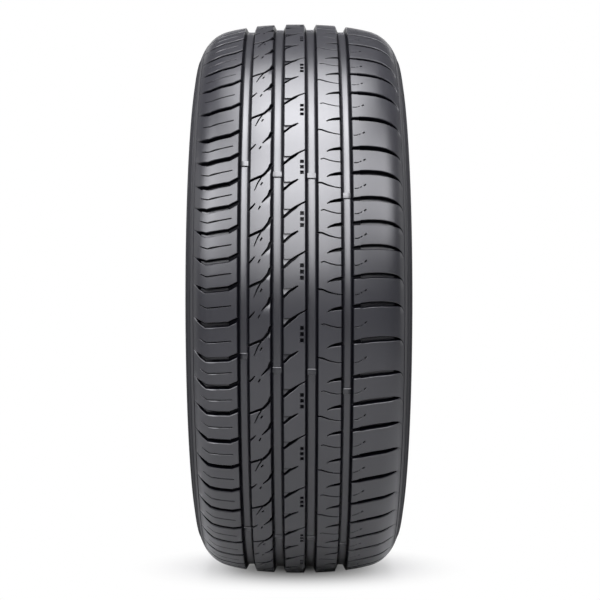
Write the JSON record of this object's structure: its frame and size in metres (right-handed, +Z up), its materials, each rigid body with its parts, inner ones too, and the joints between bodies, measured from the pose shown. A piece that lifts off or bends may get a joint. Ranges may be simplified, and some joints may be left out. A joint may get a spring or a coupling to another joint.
{
  "type": "car tyre",
  "caption": "Radial road tyre with four grooves round the tread, an asymmetric block pattern and two bead seats that take a wheel rim.",
  "frame": {"origin": "centre of the wheel, half-way between the two beads, on the axis that the tyre turns about", "axes": "+Y along the axis, towards the side with the plain long shoulder grooves; +Z up, with the pressed-flat contact patch of the tread at the bottom; +X out of the front of the tread as the picture shows it"},
  "size_m": [0.7376, 0.2634, 0.7361],
  "materials": {
    "tyre_rubber": "moulded rubber, dull satin"
  },
  "bodies": {
    "root": {"tyre": "tyre_rubber"}
  },
  "joints": []
}
